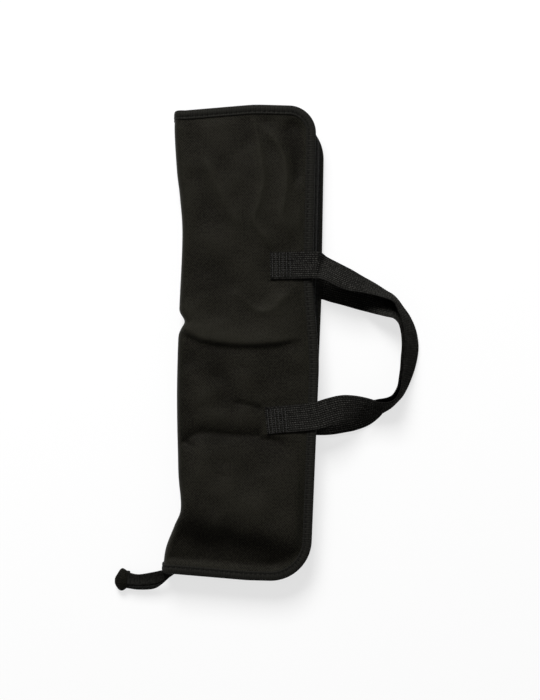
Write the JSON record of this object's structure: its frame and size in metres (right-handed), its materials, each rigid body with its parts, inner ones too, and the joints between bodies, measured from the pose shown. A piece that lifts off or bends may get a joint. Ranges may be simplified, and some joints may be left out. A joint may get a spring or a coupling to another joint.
{
  "type": "drum stick bag",
  "caption": "Padded cloth drum stick bag that zips round its edge and opens flat like a book, with a webbing handle on each cover and sewn stick channels inside.",
  "frame": {"origin": "on the surface that the closed bag lies on, under the middle of its footprint", "axes": "+X from the folded spine to the zip edge and the handles, +Y along the bag to the closed end of the zip, +Z out of the front cover"},
  "size_m": [0.2851, 0.4673, 0.0288],
  "materials": {
    "outer_cloth": "black plain-weave cloth with a soft sheen",
    "binding_tape": "black ribbed edge tape, stitched",
    "webbing": "black coarse ribbed webbing",
    "lining": "black smooth lining cloth",
    "foam": "dark grey foam sheet, hidden in the covers",
    "zip_tape": "black woven zip tape",
    "nylon_coil": "black nylon coil",
    "black_metal": "black coated metal"
  },
  "bodies": {
    "back_cover": {"back_shell": "outer_cloth", "back_foam": "foam", "back_lining": "lining", "back_binding": "binding_tape", "stick_pocket": "lining", "pocket_binding": "binding_tape", "back_zip_tape": "zip_tape", "back_zip_coil": "nylon_coil", "back_zip_stop": "black_metal", "back_handle_upper_end": "webbing", "back_handle_lower_end": "webbing"},
    "spine": {"spine_shell": "outer_cloth", "spine_lining": "lining", "spine_binding_top": "binding_tape", "spine_binding_bottom": "binding_tape"},
    "front_cover": {"front_shell": "outer_cloth", "front_foam": "foam", "front_lining": "lining", "front_binding": "binding_tape", "front_zip_tape": "zip_tape", "front_zip_coil": "nylon_coil", "front_zip_stop": "black_metal", "front_handle_upper_end": "webbing", "front_handle_lower_end": "webbing"},
    "front_handle": {"front_handle": "webbing"},
    "back_handle": {"back_handle": "webbing"},
    "zip_slider": {"zip_slider": "black_metal", "slider_bail": "black_metal"},
    "zip_puller": {"zip_puller": "black_metal"},
    "zip_tail": {"zip_tail_front_tape": "zip_tape", "zip_tail_back_tape": "zip_tape", "zip_end_tab": "outer_cloth"}
  },
  "joints": [
    {"name": "spine_fold", "type": "hinge", "parent": "back_cover", "child": "spine", "pos_m": [-0.0967, 0.0074, 0.0019], "axis": [0, -1, 0], "range_deg": [0, 90]},
    {"name": "cover_fold", "type": "hinge", "parent": "spine", "child": "front_cover", "pos_m": [-0.0967, 0.0074, 0.0259], "axis": [0, -1, 0], "range_deg": [0, 90]},
    {"name": "front_handle_swing", "type": "hinge", "parent": "front_cover", "child": "front_handle", "pos_m": [0.0483, 0.0074, 0.02795], "axis": [0, -1, 0], "range_deg": [0, 175]},
    {"name": "back_handle_swing", "type": "hinge", "parent": "back_cover", "child": "back_handle", "pos_m": [0.0483, 0.0074, -0.00015], "axis": [0, 1, 0], "range_deg": [0, 175]},
    {"name": "zip_slide", "type": "slide", "parent": "back_cover", "child": "zip_slider", "axis": [1, 0, 0], "range_m": [0, 0.07]},
    {"name": "zip_pull_swing", "type": "hinge", "parent": "zip_slider", "child": "zip_puller", "pos_m": [-0.0647, 0.2272, 0.0139], "axis": [0, 0, 1], "range_deg": [0, 180]},
    {"name": "zip_tail_swing", "type": "hinge", "parent": "back_cover", "child": "zip_tail", "pos_m": [-0.083, -0.2124, 0.0139], "axis": [0, 0, 1], "range_deg": [0, 67.5]}
  ],
  "couplings": [
    {"joint": "cover_fold", "follows": "spine_fold", "ratio": 1},
    {"joint": "zip_tail_swing", "follows": "spine_fold", "ratio": 0.75}
  ]
}
